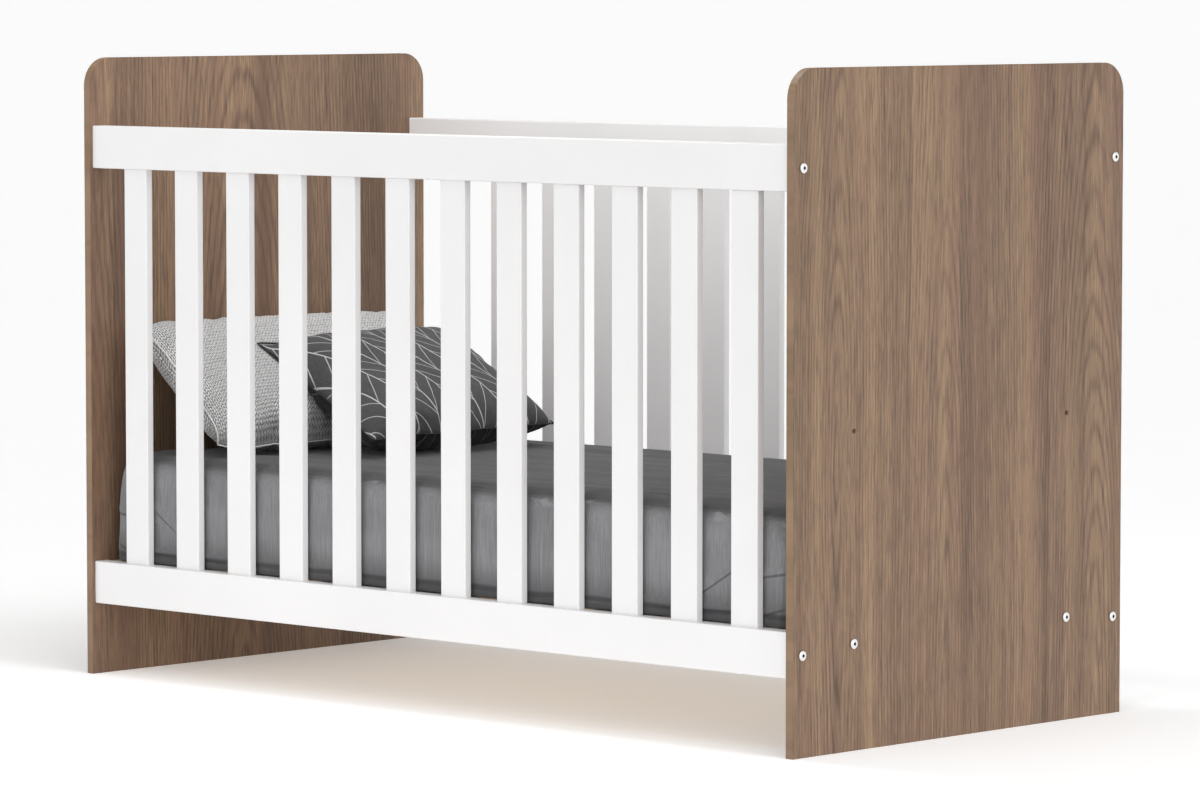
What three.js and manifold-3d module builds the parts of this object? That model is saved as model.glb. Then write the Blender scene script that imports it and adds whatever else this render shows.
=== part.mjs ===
// A baby crib: two wood-grain end panels, two fixed slatted sides, a slatted base that bolts at
// either of two heights, a mattress and two cushions.
// Millimetres. +X runs along the crib, -Y is the front and +Z is up. The origin is on the floor,
// under the middle of the crib.
import * as THREE from 'three';
import { mergeVertices } from 'three/addons/utils/BufferGeometryUtils.js';
import Module from 'manifold-3d';

const wasm = await Module();
wasm.setup();

// ---- driving dimensions -----------------------------------------------------------------------
const LENGTH = 1340; // over the outside of both end panels
const WIDTH = 665; // front edge to back edge of an end panel
const HEIGHT = 875; // floor to the top edge of an end panel
const CLEARANCE = 0.3; // between pieces that touch

const PANEL_THICKNESS = 12;
const PANEL_CORNER_RADIUS = 40;

const RAIL_THICKNESS = 25;
const RAIL_HEIGHT = 60;
const RAIL_EDGE_RADIUS = 2;
const RAIL_SETBACK = 5; // from the edge of the end panel to the outer face of the rail
const TOP_RAIL_Z = 749; // height of the rail's middle
const BOTTOM_RAIL_Z = 131;

const SLATS_PER_SIDE = 12;
const SLAT_WIDTH = 46;
const SLAT_THICKNESS = 12;
const SLAT_EDGE_RADIUS = 1.5;
const TENON = 10; // how far a slat goes into a rail

const BASE_LOW_Z = 138; // height of the base bolts at the low setting
const BASE_LIFT = 273; // from the low setting to the high one
const BASE_BOLT_Y = 215.5; // each base bolt, from the middle of the panel
const BASE_SIDE_GAP = 3; // base to side rail
const BASE_END_GAP = 2; // base to end panel
const BASE_RAIL_THICKNESS = 25;
const BASE_RAIL_HEIGHT = 44;
const BASE_SLATS = 7;
const BASE_SLAT_WIDTH = 115;
const BASE_SLAT_THICKNESS = 12;

const SCREW_SHANK_RADIUS = 3.5; // rail screw
const SCREW_LENGTH = 50;
const BOLT_SHANK_RADIUS = 3; // base bolt, M6
const HEAD_RADIUS = 6.8;
const HEAD_RIM = 0.9;
const HEAD_HEIGHT = 2.4;
const HEX_ACROSS_CORNERS = 4.6;
const HEX_DEPTH = 1.8;
const INSERT_RADIUS = 5; // threaded insert in the end of the base
const INSERT_LENGTH = 13;
const SPARE_HOLE_RADIUS = 3.5;

const MATTRESS_LENGTH = 1300;
const MATTRESS_WIDTH = 600;
const MATTRESS_TOP_Z = 312;
const MATTRESS_CORNER_RADIUS = 34;
const MATTRESS_EDGE_RADIUS = 24;

const CUSHION_EDGE = 5; // half the thickness left at a cushion's seam
const CUSHION_WAIST = 0.035; // how far its sides pull in between the corners
// Each cushion's size, the place of its middle, and its turns in degrees about x, y and z.
const WHITE_CUSHION = {
  depth: 248, width: 545, crownAbove: 30, crownBelow: 38,
  place: [-543, -12, 411], roll: 0, slope: 39.2, twist: 0,
};
const DARK_CUSHION = {
  depth: 270, width: 347, crownAbove: 50, crownBelow: 14,
  place: [-411, 53, 398], roll: 1.1, slope: 27.3, twist: -3.5,
};

// ---- places worked out from them --------------------------------------------------------------
const INNER_LENGTH = LENGTH - 2 * PANEL_THICKNESS;
const PANEL_X = (LENGTH - PANEL_THICKNESS) / 2;
const SIDE_Y = WIDTH / 2 - RAIL_SETBACK - RAIL_THICKNESS / 2;
const SLAT_LENGTH = TOP_RAIL_Z - BOTTOM_RAIL_Z - RAIL_HEIGHT + 2 * TENON;
const SLAT_GAP = (INNER_LENGTH - SLATS_PER_SIDE * SLAT_WIDTH) / (SLATS_PER_SIDE + 1);
const BASE_LENGTH = INNER_LENGTH - 2 * BASE_END_GAP;
const BASE_WIDTH = WIDTH - 2 * (RAIL_SETBACK + RAIL_THICKNESS + BASE_SIDE_GAP);
const BASE_TOP_Z = BASE_LOW_Z + BASE_RAIL_HEIGHT / 2;
const MATTRESS_BOTTOM_Z = BASE_TOP_Z + 2 * CLEARANCE;

const FRONT = -1;
const BACK = 1;
const LEFT = -1;
const RIGHT = 1;
const sideName = (side) => (side === FRONT ? 'front' : 'back');
const endName = (end) => (end === LEFT ? 'left' : 'right');
const twoDigits = (number) => String(number).padStart(2, '0');

// ---- materials --------------------------------------------------------------------------------
const finish = (color, roughness, metalness = 0) =>
  new THREE.MeshStandardMaterial({ color, roughness, metalness });
const walnut = () => finish(0x927a66, 0.55);
const whiteLacquer = () => finish(0xeeeeee, 0.4);
const steel = () => finish(0xd8d8d6, 0.3, 1);
const beech = () => finish(0xcdb28c, 0.65);
const greyJersey = () => finish(0x7c7e80, 0.9);
const whiteKnit = () => finish(0xdcdcdc, 0.95);
const charcoalCotton = () => finish(0x4a4a4b, 0.9);

// ---- building blocks --------------------------------------------------------------------------
const crib = new THREE.Group();

function place(name, geometry, material, x, y, z) {
  const mesh = new THREE.Mesh(geometry, material);
  mesh.name = name;
  mesh.position.set(x, y, z);
  crib.add(mesh);
  return mesh;
}

function roundedRectangle(width, height, radius) {
  const x = width / 2 - radius;
  const y = height / 2 - radius;
  const quarter = Math.PI / 2;
  const shape = new THREE.Shape();
  shape.absarc(x, y, radius, 0, quarter);
  shape.absarc(-x, y, radius, quarter, 2 * quarter);
  shape.absarc(-x, -y, radius, 2 * quarter, 3 * quarter);
  shape.absarc(x, -y, radius, 3 * quarter, 4 * quarter);
  shape.closePath();
  return shape;
}

// Extrudes a shape and centres it. The shape's own x and y become the two axes that follow
// the direction of extrusion: y and z for x, z and x for y.
function extrude(shape, length, direction, curveSegments = 1) {
  const geometry = new THREE.ExtrudeGeometry(shape, {
    depth: length, bevelEnabled: false, curveSegments,
  });
  geometry.translate(0, 0, -length / 2);
  const [x, y, z] = [0, 1, 2].map((column) => new THREE.Vector3().setComponent(column, 1));
  if (direction === 'x') geometry.applyMatrix4(new THREE.Matrix4().makeBasis(y, z, x));
  if (direction === 'y') geometry.applyMatrix4(new THREE.Matrix4().makeBasis(z, x, y));
  return geometry;
}

function cylinderAlongX(radius, length, x, y, z) {
  const segments = 12;
  const geometry = new THREE.CylinderGeometry(radius, radius, length, segments);
  geometry.rotateZ(Math.PI / 2);
  geometry.translate(x, y, z);
  return geometry;
}

function toManifold(geometry) {
  const bare = geometry.clone();
  bare.deleteAttribute('normal');
  bare.deleteAttribute('uv');
  const welded = mergeVertices(bare);
  const corners = welded.index.array;
  const triangles = [];
  for (let i = 0; i < corners.length; i += 3) {
    const [a, b, c] = corners.slice(i, i + 3);
    if (a !== b && b !== c && c !== a) triangles.push(a, b, c);
  }
  return new wasm.Manifold(new wasm.Mesh({
    numProp: 3,
    vertProperties: new Float32Array(welded.attributes.position.array),
    triVerts: new Uint32Array(triangles),
  }));
}

function cut(geometry, tools) {
  let solid = toManifold(geometry);
  for (const tool of tools) solid = solid.subtract(toManifold(tool));
  const { vertProperties, triVerts } = solid.getMesh();
  const result = new THREE.BufferGeometry();
  result.setAttribute('position', new THREE.BufferAttribute(vertProperties, 3));
  result.setIndex(new THREE.BufferAttribute(triVerts, 1));
  const flat = result.toNonIndexed();
  flat.computeVertexNormals();
  return flat;
}

// ---- end panels -------------------------------------------------------------------------------
function panelOutline() {
  const halfWidth = WIDTH / 2;
  const shape = new THREE.Shape();
  shape.moveTo(-halfWidth, 0);
  shape.lineTo(halfWidth, 0);
  shape.absarc(halfWidth - PANEL_CORNER_RADIUS, HEIGHT - PANEL_CORNER_RADIUS,
    PANEL_CORNER_RADIUS, 0, Math.PI / 2);
  shape.absarc(-halfWidth + PANEL_CORNER_RADIUS, HEIGHT - PANEL_CORNER_RADIUS,
    PANEL_CORNER_RADIUS, Math.PI / 2, Math.PI);
  shape.closePath();
  return shape;
}

function drill(shape, y, z, radius) {
  const hole = new THREE.Path();
  hole.absarc(y, z, radius, 0, 2 * Math.PI, true);
  shape.holes.push(hole);
}

function endPanel(end) {
  const shape = panelOutline();
  for (const side of [FRONT, BACK]) {
    for (const z of [BOTTOM_RAIL_Z, TOP_RAIL_Z]) {
      drill(shape, side * SIDE_Y, z, SCREW_SHANK_RADIUS + CLEARANCE);
    }
    drill(shape, side * BASE_BOLT_Y, BASE_LOW_Z, BOLT_SHANK_RADIUS + CLEARANCE);
    drill(shape, side * BASE_BOLT_Y, BASE_LOW_Z + BASE_LIFT, SPARE_HOLE_RADIUS);
  }
  const arcSteps = 8;
  const geometry = extrude(shape, PANEL_THICKNESS, 'x', arcSteps);
  place(`${endName(end)}_end_panel`, geometry, walnut(), end * PANEL_X, 0, 0);
}

// ---- slatted sides ----------------------------------------------------------------------------
const slatX = (index) =>
  -INNER_LENGTH / 2 + SLAT_GAP + SLAT_WIDTH / 2 + index * (SLAT_GAP + SLAT_WIDTH);

// A rail with a mortise for each slat in the edge that faces the other rail, and a screw hole
// in each end.
function rail(side, name, z, mortiseEdge) {
  const length = INNER_LENGTH - 2 * CLEARANCE;
  const section = roundedRectangle(RAIL_THICKNESS, RAIL_HEIGHT, RAIL_EDGE_RADIUS);
  const mortiseShape = roundedRectangle(
    SLAT_WIDTH + 2 * CLEARANCE, SLAT_THICKNESS + 2 * CLEARANCE, SLAT_EDGE_RADIUS + CLEARANCE);
  const mortiseDepth = TENON + CLEARANCE;
  const tools = [];
  for (let i = 0; i < SLATS_PER_SIDE; i += 1) {
    const mortise = extrude(mortiseShape, 2 * mortiseDepth, 'z');
    mortise.translate(slatX(i), 0, mortiseEdge * RAIL_HEIGHT / 2);
    tools.push(mortise);
  }
  const screwRadius = SCREW_SHANK_RADIUS + CLEARANCE;
  const screwReach = SCREW_LENGTH - PANEL_THICKNESS + 2 * CLEARANCE;
  for (const end of [LEFT, RIGHT]) {
    tools.push(cylinderAlongX(screwRadius, 2 * screwReach, end * length / 2, 0, 0));
  }
  place(`${sideName(side)}_${name}_rail`, cut(extrude(section, length, 'x'), tools),
    whiteLacquer(), 0, side * SIDE_Y, z);
}

function slattedSide(side) {
  rail(side, 'top', TOP_RAIL_Z, -1);
  rail(side, 'bottom', BOTTOM_RAIL_Z, 1);
  const section = roundedRectangle(SLAT_WIDTH, SLAT_THICKNESS, SLAT_EDGE_RADIUS);
  for (let i = 0; i < SLATS_PER_SIDE; i += 1) {
    place(`${sideName(side)}_slat_${twoDigits(i + 1)}`, extrude(section, SLAT_LENGTH, 'z'),
      whiteLacquer(), slatX(i), side * SIDE_Y, (TOP_RAIL_Z + BOTTOM_RAIL_Z) / 2);
  }
}

// ---- screws, bolts and inserts ----------------------------------------------------------------
// A shallow domed head with a hexagonal socket, on a plain shank. It is turned about y, with
// the underside of the head at zero and the shank below it.
function domedScrew(shankRadius, shankLength, chamfer) {
  const profile = [
    new THREE.Vector2(0, -shankLength),
    new THREE.Vector2(shankRadius - chamfer, -shankLength),
    new THREE.Vector2(shankRadius, -shankLength + chamfer),
    new THREE.Vector2(shankRadius, 0),
    new THREE.Vector2(HEAD_RADIUS, 0),
  ];
  const domeSteps = 4;
  for (let i = 0; i <= domeSteps; i += 1) {
    const angle = (i / domeSteps) * Math.PI / 2;
    const rise = (HEAD_HEIGHT - HEAD_RIM) * Math.sin(angle);
    const radius = i === domeSteps ? 0 : HEAD_RADIUS * Math.cos(angle);
    profile.push(new THREE.Vector2(radius, HEAD_RIM + rise));
  }
  const turnSegments = 16;
  const hexSides = 6;
  const socket = new THREE.CylinderGeometry(
    HEX_ACROSS_CORNERS / 2, HEX_ACROSS_CORNERS / 2, 2 * HEX_DEPTH, hexSides);
  socket.translate(0, HEAD_HEIGHT, 0);
  return cut(new THREE.LatheGeometry(profile, turnSegments), [socket]);
}

function fastener(name, geometry, end, y, z) {
  const mesh = place(name, geometry, steel(), end * (LENGTH / 2 + CLEARANCE), y, z);
  mesh.rotation.z = -end * Math.PI / 2;
}

function endFasteners(end) {
  const screwTip = 1.5;
  const boltTip = 0.5;
  // The base bolts stop at the inner face of the panel, which leaves the base free to slide.
  const boltLength = PANEL_THICKNESS;
  for (const side of [FRONT, BACK]) {
    const corner = `${endName(end)}_${sideName(side)}`;
    for (const [level, z] of [['bottom', BOTTOM_RAIL_Z], ['top', TOP_RAIL_Z]]) {
      fastener(`${corner}_${level}_rail_screw`,
        domedScrew(SCREW_SHANK_RADIUS, SCREW_LENGTH, screwTip), end, side * SIDE_Y, z);
    }
    fastener(`${corner}_base_bolt`,
      domedScrew(BOLT_SHANK_RADIUS, boltLength, boltTip), end, side * BASE_BOLT_Y, BASE_LOW_Z);
  }
}

// A threaded insert: a short tube, closed at its inner end.
function baseInsert(end, side) {
  const floor = 1.5;
  const bore = BOLT_SHANK_RADIUS + CLEARANCE;
  const points = [
    [0, -INSERT_LENGTH], [INSERT_RADIUS, -INSERT_LENGTH], [INSERT_RADIUS, 0],
    [bore, 0], [bore, -INSERT_LENGTH + floor], [0, -INSERT_LENGTH + floor],
  ];
  const turnSegments = 12;
  const geometry = new THREE.LatheGeometry(
    points.map(([radius, height]) => new THREE.Vector2(radius, height)), turnSegments);
  const mesh = place(`${endName(end)}_${sideName(side)}_base_insert`, geometry, steel(),
    end * (BASE_LENGTH / 2 - CLEARANCE), side * BASE_BOLT_Y, BASE_LOW_Z);
  mesh.rotation.z = -end * Math.PI / 2;
}

// ---- mattress base ----------------------------------------------------------------------------
function baseEndRail(end) {
  const section = roundedRectangle(BASE_WIDTH, BASE_RAIL_HEIGHT, RAIL_EDGE_RADIUS);
  const holes = [FRONT, BACK].map((side) => cylinderAlongX(
    INSERT_RADIUS + CLEARANCE, 2 * (INSERT_LENGTH + 2 * CLEARANCE),
    end * BASE_RAIL_THICKNESS / 2, side * BASE_BOLT_Y, 0));
  place(`base_${endName(end)}_rail`, cut(extrude(section, BASE_RAIL_THICKNESS, 'x'), holes),
    beech(), end * (BASE_LENGTH - BASE_RAIL_THICKNESS) / 2, 0, BASE_LOW_Z);
}

function baseSideRail(side) {
  const height = BASE_RAIL_HEIGHT - BASE_SLAT_THICKNESS - CLEARANCE;
  const length = BASE_LENGTH - 2 * (BASE_RAIL_THICKNESS + CLEARANCE);
  const section = roundedRectangle(BASE_RAIL_THICKNESS, height, RAIL_EDGE_RADIUS);
  const bottom = BASE_LOW_Z - BASE_RAIL_HEIGHT / 2;
  place(`base_${sideName(side)}_rail`, extrude(section, length, 'x'), beech(),
    0, side * (BASE_WIDTH - BASE_RAIL_THICKNESS) / 2, bottom + height / 2);
}

function baseSlat(index) {
  const span = BASE_LENGTH - 2 * BASE_RAIL_THICKNESS;
  const gap = (span - BASE_SLATS * BASE_SLAT_WIDTH) / (BASE_SLATS + 1);
  const x = -span / 2 + gap + BASE_SLAT_WIDTH / 2 + index * (gap + BASE_SLAT_WIDTH);
  const section = roundedRectangle(BASE_SLAT_THICKNESS, BASE_SLAT_WIDTH, RAIL_EDGE_RADIUS);
  place(`base_slat_${twoDigits(index + 1)}`, extrude(section, BASE_WIDTH, 'y'), beech(),
    x, 0, BASE_TOP_Z - BASE_SLAT_THICKNESS / 2);
}

function mattressBase() {
  for (const end of [LEFT, RIGHT]) {
    baseEndRail(end);
    for (const side of [FRONT, BACK]) baseInsert(end, side);
  }
  for (const side of [FRONT, BACK]) baseSideRail(side);
  for (let i = 0; i < BASE_SLATS; i += 1) baseSlat(i);
}

// ---- mattress and cushions --------------------------------------------------------------------
function mattress() {
  const radius = MATTRESS_EDGE_RADIUS;
  const height = MATTRESS_TOP_Z - MATTRESS_BOTTOM_Z;
  const shape = roundedRectangle(MATTRESS_LENGTH - 2 * radius, MATTRESS_WIDTH - 2 * radius,
    MATTRESS_CORNER_RADIUS - radius);
  const geometry = new THREE.ExtrudeGeometry(shape, {
    depth: height - 2 * radius, bevelEnabled: true, bevelThickness: radius, bevelSize: radius,
    bevelSegments: 3, curveSegments: 2,
  });
  place('mattress', geometry, greyJersey(), 0, 0, MATTRESS_BOTTOM_Z + radius);
}

// A stuffed cushion lying flat: x is its depth, y its width. It is crowned above and below the
// seam, thin at its corners, and its sides pull in between them.
function cushionShape({ depth, width, crownAbove, crownBelow }) {
  const divisions = 10;
  const geometry = new THREE.BoxGeometry(2, 2, 2, divisions, divisions, 2);
  const position = geometry.attributes.position;
  for (let i = 0; i < position.count; i += 1) {
    const a = position.getX(i);
    const b = position.getY(i);
    const side = Math.round(position.getZ(i));
    const fullness = Math.sqrt((1 - a ** 4) * (1 - b ** 4));
    const crown = side > 0 ? crownAbove : crownBelow;
    position.setXYZ(i,
      a * (depth / 2) * (1 - CUSHION_WAIST * (1 - b * b)),
      b * (width / 2) * (1 - CUSHION_WAIST * (1 - a * a)),
      side * (CUSHION_EDGE + (crown - CUSHION_EDGE) * fullness));
  }
  geometry.computeVertexNormals();
  return geometry;
}

function cushion(name, material, size) {
  const mesh = place(name, cushionShape(size), material, ...size.place);
  const [roll, slope, twist] = [size.roll, size.slope, size.twist].map(THREE.MathUtils.degToRad);
  mesh.rotation.set(roll, slope, twist, 'ZYX');
}

// ---- the crib ---------------------------------------------------------------------------------
for (const end of [LEFT, RIGHT]) {
  endPanel(end);
  endFasteners(end);
}
for (const side of [FRONT, BACK]) slattedSide(side);
mattressBase();
mattress();
// The pale cushion leans back against the left end panel, and the dark one lies on its lower half.
cushion('white_cushion', whiteKnit(), WHITE_CUSHION);
cushion('dark_cushion', charcoalCotton(), DARK_CUSHION);

export default crib;
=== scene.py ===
"""Looks for the baby crib: laminate, lacquer, metal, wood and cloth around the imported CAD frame."""

import math

import bmesh
import bpy
import numpy as np
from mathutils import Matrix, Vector
from mathutils.bvhtree import BVHTree


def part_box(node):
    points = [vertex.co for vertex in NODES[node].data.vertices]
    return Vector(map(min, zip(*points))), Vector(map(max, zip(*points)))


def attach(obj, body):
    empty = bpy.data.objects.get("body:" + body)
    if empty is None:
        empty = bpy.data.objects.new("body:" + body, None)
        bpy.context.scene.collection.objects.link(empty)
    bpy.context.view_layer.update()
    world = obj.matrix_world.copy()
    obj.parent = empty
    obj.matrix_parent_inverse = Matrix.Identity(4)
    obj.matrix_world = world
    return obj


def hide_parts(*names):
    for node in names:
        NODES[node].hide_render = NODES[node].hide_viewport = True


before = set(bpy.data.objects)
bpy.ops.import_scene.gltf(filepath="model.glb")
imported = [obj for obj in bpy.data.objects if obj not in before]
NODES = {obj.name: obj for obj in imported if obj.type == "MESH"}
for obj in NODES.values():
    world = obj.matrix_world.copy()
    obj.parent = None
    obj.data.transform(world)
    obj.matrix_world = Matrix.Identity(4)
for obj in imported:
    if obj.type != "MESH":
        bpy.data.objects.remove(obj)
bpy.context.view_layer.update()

MM = 0.001

scene = bpy.context.scene
scene.view_settings.view_transform = "Standard"

WHITE_NODES = [n for n in NODES if n.startswith(("front_", "back_"))]
PANEL_NODES = ["left_end_panel", "right_end_panel"]
FASTENER_NODES = [n for n in NODES if n.endswith(("_screw", "_bolt"))]
INSERT_NODES = [n for n in NODES if n.endswith("_insert")]
BASE_NODES = [n for n in NODES if n.startswith("base_")]

# Keeps a division by a length from failing where the length is zero.
TINY = 1e-9

# The folds that fan out from each lower corner of the sheet: the height where each would meet
# the corner, how steeply it falls away from it, and how far along it starts and ends.
SHEET_FOLDS = [(0.078, 0.16, 0.010, 0.115), (0.140, 0.60, 0.090, 0.195),
               (0.036, 0.28, 0.015, 0.100), (0.022, 0.02, 0.060, 0.260)]


# ---- shader building --------------------------------------------------------------------------
def srgb(red, green, blue):
    """A colour in 0 to 255, as the linear numbers that shaders take."""
    def linear(value):
        share = value / 255
        return share / 12.92 if share <= 0.04045 else ((share + 0.055) / 1.055) ** 2.4
    return linear(red), linear(green), linear(blue), 1.0


class Field:
    """A number that varies over a surface: a shader output with arithmetic."""

    def __init__(self, tree, socket):
        self.tree, self.socket = tree, socket

    def math(self, operation, *others):
        node = self.tree.nodes.new("ShaderNodeMath")
        node.operation = operation
        for slot, value in zip(node.inputs, (self, *others)):
            feed(self.tree, slot, value)
        return Field(self.tree, node.outputs[0])

    def __add__(self, other):
        return self.math("ADD", other)

    def __sub__(self, other):
        return self.math("SUBTRACT", other)

    def __mul__(self, other):
        return self.math("MULTIPLY", other)

    def __truediv__(self, other):
        return self.math("DIVIDE", other)

    def __pow__(self, other):
        return self.math("POWER", other)

    def __abs__(self):
        return self.math("ABSOLUTE")

    def sin(self):
        return self.math("SINE")

    def sqrt(self):
        return self.math("SQRT")

    def fract(self):
        return self.math("FRACT")

    def floor(self):
        return self.math("FLOOR")

    def least(self, other):
        return self.math("MINIMUM", other)

    def most(self, other):
        return self.math("MAXIMUM", other)

    def above(self, low, high):
        """0 below low, 1 above high, and smooth between them. With low over high, it falls."""
        node = self.tree.nodes.new("ShaderNodeMapRange")
        node.interpolation_type = "SMOOTHSTEP"
        for slot, value in zip(node.inputs[:5], (self, low, high, 0.0, 1.0)):
            feed(self.tree, slot, value)
        return Field(self.tree, node.outputs[0])


def feed(tree, slot, value):
    """Sets an input to a constant, or links a field or an output to it."""
    if isinstance(value, Field):
        value = value.socket
    if isinstance(value, bpy.types.NodeSocket):
        tree.links.new(value, slot)
    else:
        slot.default_value = value


class Shader:
    """A material whose pattern is written as arithmetic on fields."""

    def __init__(self, name, **constants):
        self.material = bpy.data.materials.new(name)
        self.material.use_nodes = True
        self.tree = self.material.node_tree
        self.surface = self.tree.nodes["Principled BSDF"]
        self.set(**constants)

    def set(self, **inputs):
        """Sets inputs of the surface. An underscore in a name stands for a space."""
        for name, value in inputs.items():
            feed(self.tree, self.surface.inputs[name.replace("_", " ")], value)

    def node(self, kind, inputs=(), **settings):
        """A new shader node, with its inputs fed and its settings made."""
        node = self.tree.nodes.new("ShaderNode" + kind)
        for name, value in settings.items():
            setattr(node, name, value)
        for name, value in dict(inputs).items():
            feed(self.tree, node.inputs[name], value)
        return node

    def split(self, vector):
        """The three parts of a vector, as fields."""
        node = self.node("SeparateXYZ", {"Vector": vector})
        return [Field(self.tree, output) for output in node.outputs]

    def join(self, x, y, z):
        return self.node("CombineXYZ", {"X": x, "Y": y, "Z": z}).outputs[0]

    def place(self):
        """The point on the piece at rest, in metres."""
        return self.node("TexCoord").outputs["Object"]

    def facing(self):
        """The surface's own direction, which the view doesn't change."""
        return self.node("TexCoord").outputs["Normal"]

    def attribute(self, name):
        """A vector that is stored on the mesh."""
        return self.node("Attribute", attribute_name=name).outputs["Vector"]

    def noise(self, vector, scale=1.0, detail=2.0, roughness=0.5, distortion=0.0):
        node = self.node("TexNoise", {
            "Vector": vector, "Scale": scale, "Detail": detail, "Roughness": roughness,
            "Distortion": distortion})
        return Field(self.tree, node.outputs["Fac"])

    def ramp(self, field, *stops):
        """The colour at a field's value, between stops of a position and a colour."""
        node = self.node("ValToRGB", {"Fac": field})
        elements = node.color_ramp.elements
        while len(elements) < len(stops):
            elements.new(0.5)
        for element, (position, colour) in zip(elements, stops):
            element.position = position
            element.color = colour
        return node.outputs["Color"]

    def mix(self, field, first, second):
        """The first colour where the field is 0, and the second where it is 1."""
        node = self.node("Mix", data_type="RGBA", blend_type="MIX")
        for slot, value in zip((node.inputs[0], node.inputs[6], node.inputs[7]),
                               (field, first, second)):
            feed(self.tree, slot, value)
        return node.outputs[2]

    def bump(self, height, distance, strength):
        """Tilts the surface as if the field were its height, over the given distance."""
        node = self.node("Bump", {"Height": height, "Distance": distance, "Strength": strength})
        self.set(Normal=node.outputs["Normal"])


# ---- materials --------------------------------------------------------------------------------
def laminate(name, shift):
    """Wood-grain foil: streaky bands, faint cathedral figures and short pores.

    The shift moves the pattern, so that the two panels differ.
    """
    s = Shader(name, Roughness=0.48, Specular_IOR_Level=0.40)
    _, y, z = s.split(s.place())
    y = y + shift
    z = z + shift * 2.0
    wander = s.noise(s.join(y * 3.0, z * 1.3, shift), detail=2.0) - 0.5
    # Rings of a flat-sawn board: the distance to each heart line. A line is given by its place
    # across the board, its depth under the face where z is 0, and its lean along the board.
    heart_lines = ((-0.245, 0.030, -0.10), (-0.035, 0.008, 0.085), (0.275, 0.020, 0.12))
    ring_density = 760.0
    figure = None
    for heart, depth, lean in heart_lines:
        across = (y - heart) + wander * 0.030
        rise = z * lean + wander * 0.05 + depth
        distance = ((across * across) * 2.2 + rise * rise).sqrt()
        figure = distance if figure is None else figure.least(distance)
    jitter = s.noise(s.join(y * 90.0, z * 5.0, 0.0), detail=3.0, roughness=0.6)
    rings = ((figure * ring_density + jitter * 5.0).sin() * 0.5 + 0.5) ** 3.0
    rings = rings * s.noise(s.join(y * 14.0, z * 2.0, 6.0), detail=2.0).above(0.30, 0.52)
    wide = s.noise(s.join(y * 13.0, z * 0.22, shift), detail=3.0, roughness=0.55)
    bands = s.noise(s.join((y + wander * 0.012) * 62.0, z * 0.7, shift), detail=4.0, roughness=0.65)
    fibres = s.noise(s.join(y * 560.0, z * 15.0, 0.0), detail=3.0, roughness=0.7)
    pores = s.noise(s.join(y * 980.0, z * 42.0, 1.7), detail=2.0, roughness=0.55).above(0.56, 0.70)
    dashes = s.noise(s.join(y * 360.0, z * 21.0, 8.2), detail=2.0).above(0.54, 0.66)
    tone = (wide - 0.5) * 0.72 + (bands - 0.5) * 0.55 + (fibres - 0.5) * 0.80 - rings * 0.17 + 0.56
    colour = s.ramp(
        tone, (0.30, srgb(88, 68, 54)), (0.42, srgb(109, 86, 69)), (0.50, srgb(122, 97, 78)),
        (0.58, srgb(134, 108, 86)), (0.72, srgb(152, 125, 98)))
    hue = s.noise(s.join(y * 19.0 + 4.0, z * 0.45, 3.0), detail=3.0)
    colour = s.mix(hue.above(0.50, 0.66) * 0.45, colour, srgb(128, 98, 80))
    colour = s.mix(hue.above(0.48, 0.34) * 0.40, colour, srgb(138, 114, 87))
    colour = s.mix(dashes * 0.40, colour, srgb(84, 64, 51))
    colour = s.mix(pores * 0.42, colour, srgb(72, 54, 43))
    # The band round the edge is paler, and a thin dark joint separates it from the face.
    flat = abs(s.split(s.facing())[0])
    edge = flat.above(0.75, 0.35)
    joint = flat.above(0.97, 0.88) * flat.above(0.30, 0.60)
    colour = s.mix(edge * 0.45, colour, srgb(144, 119, 92))
    colour = s.mix(joint * 0.50, colour, srgb(72, 55, 43))
    s.set(Base_Color=colour)
    s.bump(fibres * 0.5 - pores - dashes * 0.6 - rings * 0.15, 0.00014, 0.5)
    return s.material


def lacquer():
    """Satin white paint over planed wood: barely visible grain and small changes of gloss."""
    s = Shader("white_lacquer", Specular_IOR_Level=0.5)
    place = s.place()
    cloud = s.noise(place, scale=5.0, detail=3.0)
    speckle = s.noise(place, scale=900.0, detail=1.0)
    s.set(Base_Color=s.ramp(cloud, (0.3, srgb(228, 227, 227)), (0.7, srgb(232, 231, 231))))
    s.set(Roughness=cloud * 0.12 + speckle * 0.06 + 0.27)
    s.bump(speckle + s.noise(place, scale=140.0, detail=2.0), 0.00002, 0.15)
    return s.material


def zinc(node):
    """Bright zinc plating with a few scuffs, and painted shade down in the socket and round the foot of
    the head.
    """
    s = Shader(f"zinc_{node}", Metallic=0.6)
    place = s.place()
    low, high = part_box(node)
    middle = (low + high) / 2
    _, y, z = s.split(place)
    radius = ((y - middle.y) ** 2.0 + (z - middle.z) ** 2.0).sqrt()
    socket_radius = 2.5 * MM
    head_radius = (high.y - low.y) / 2
    scuff = s.noise(place, scale=1500.0, detail=4.0, roughness=0.7)
    plating = s.ramp(scuff, (0.3, srgb(222, 222, 220)), (0.75, srgb(246, 246, 245)))
    # Painted shade: dark in the socket and along the rim where the head meets the panel.
    socket_and_rim_shade = radius.above(socket_radius, socket_radius * 0.8).most(
        radius.above(head_radius * 0.90, head_radius * 0.99) * 0.7)
    s.set(Base_Color=s.mix(socket_and_rim_shade, plating, srgb(44, 42, 42)))
    s.set(Roughness=scuff * 0.25 + 0.25)
    s.bump(scuff, 0.00003, 0.4)
    return s.material


def brass():
    """Machined brass, a little dulled."""
    s = Shader("machined_brass", Metallic=1.0)
    scuff = s.noise(s.place(), scale=1200.0, detail=4.0, roughness=0.7)
    s.set(Base_Color=s.ramp(scuff, (0.3, srgb(150, 122, 70)), (0.7, srgb(196, 168, 104))))
    s.set(Roughness=scuff * 0.3 + 0.25)
    return s.material


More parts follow.
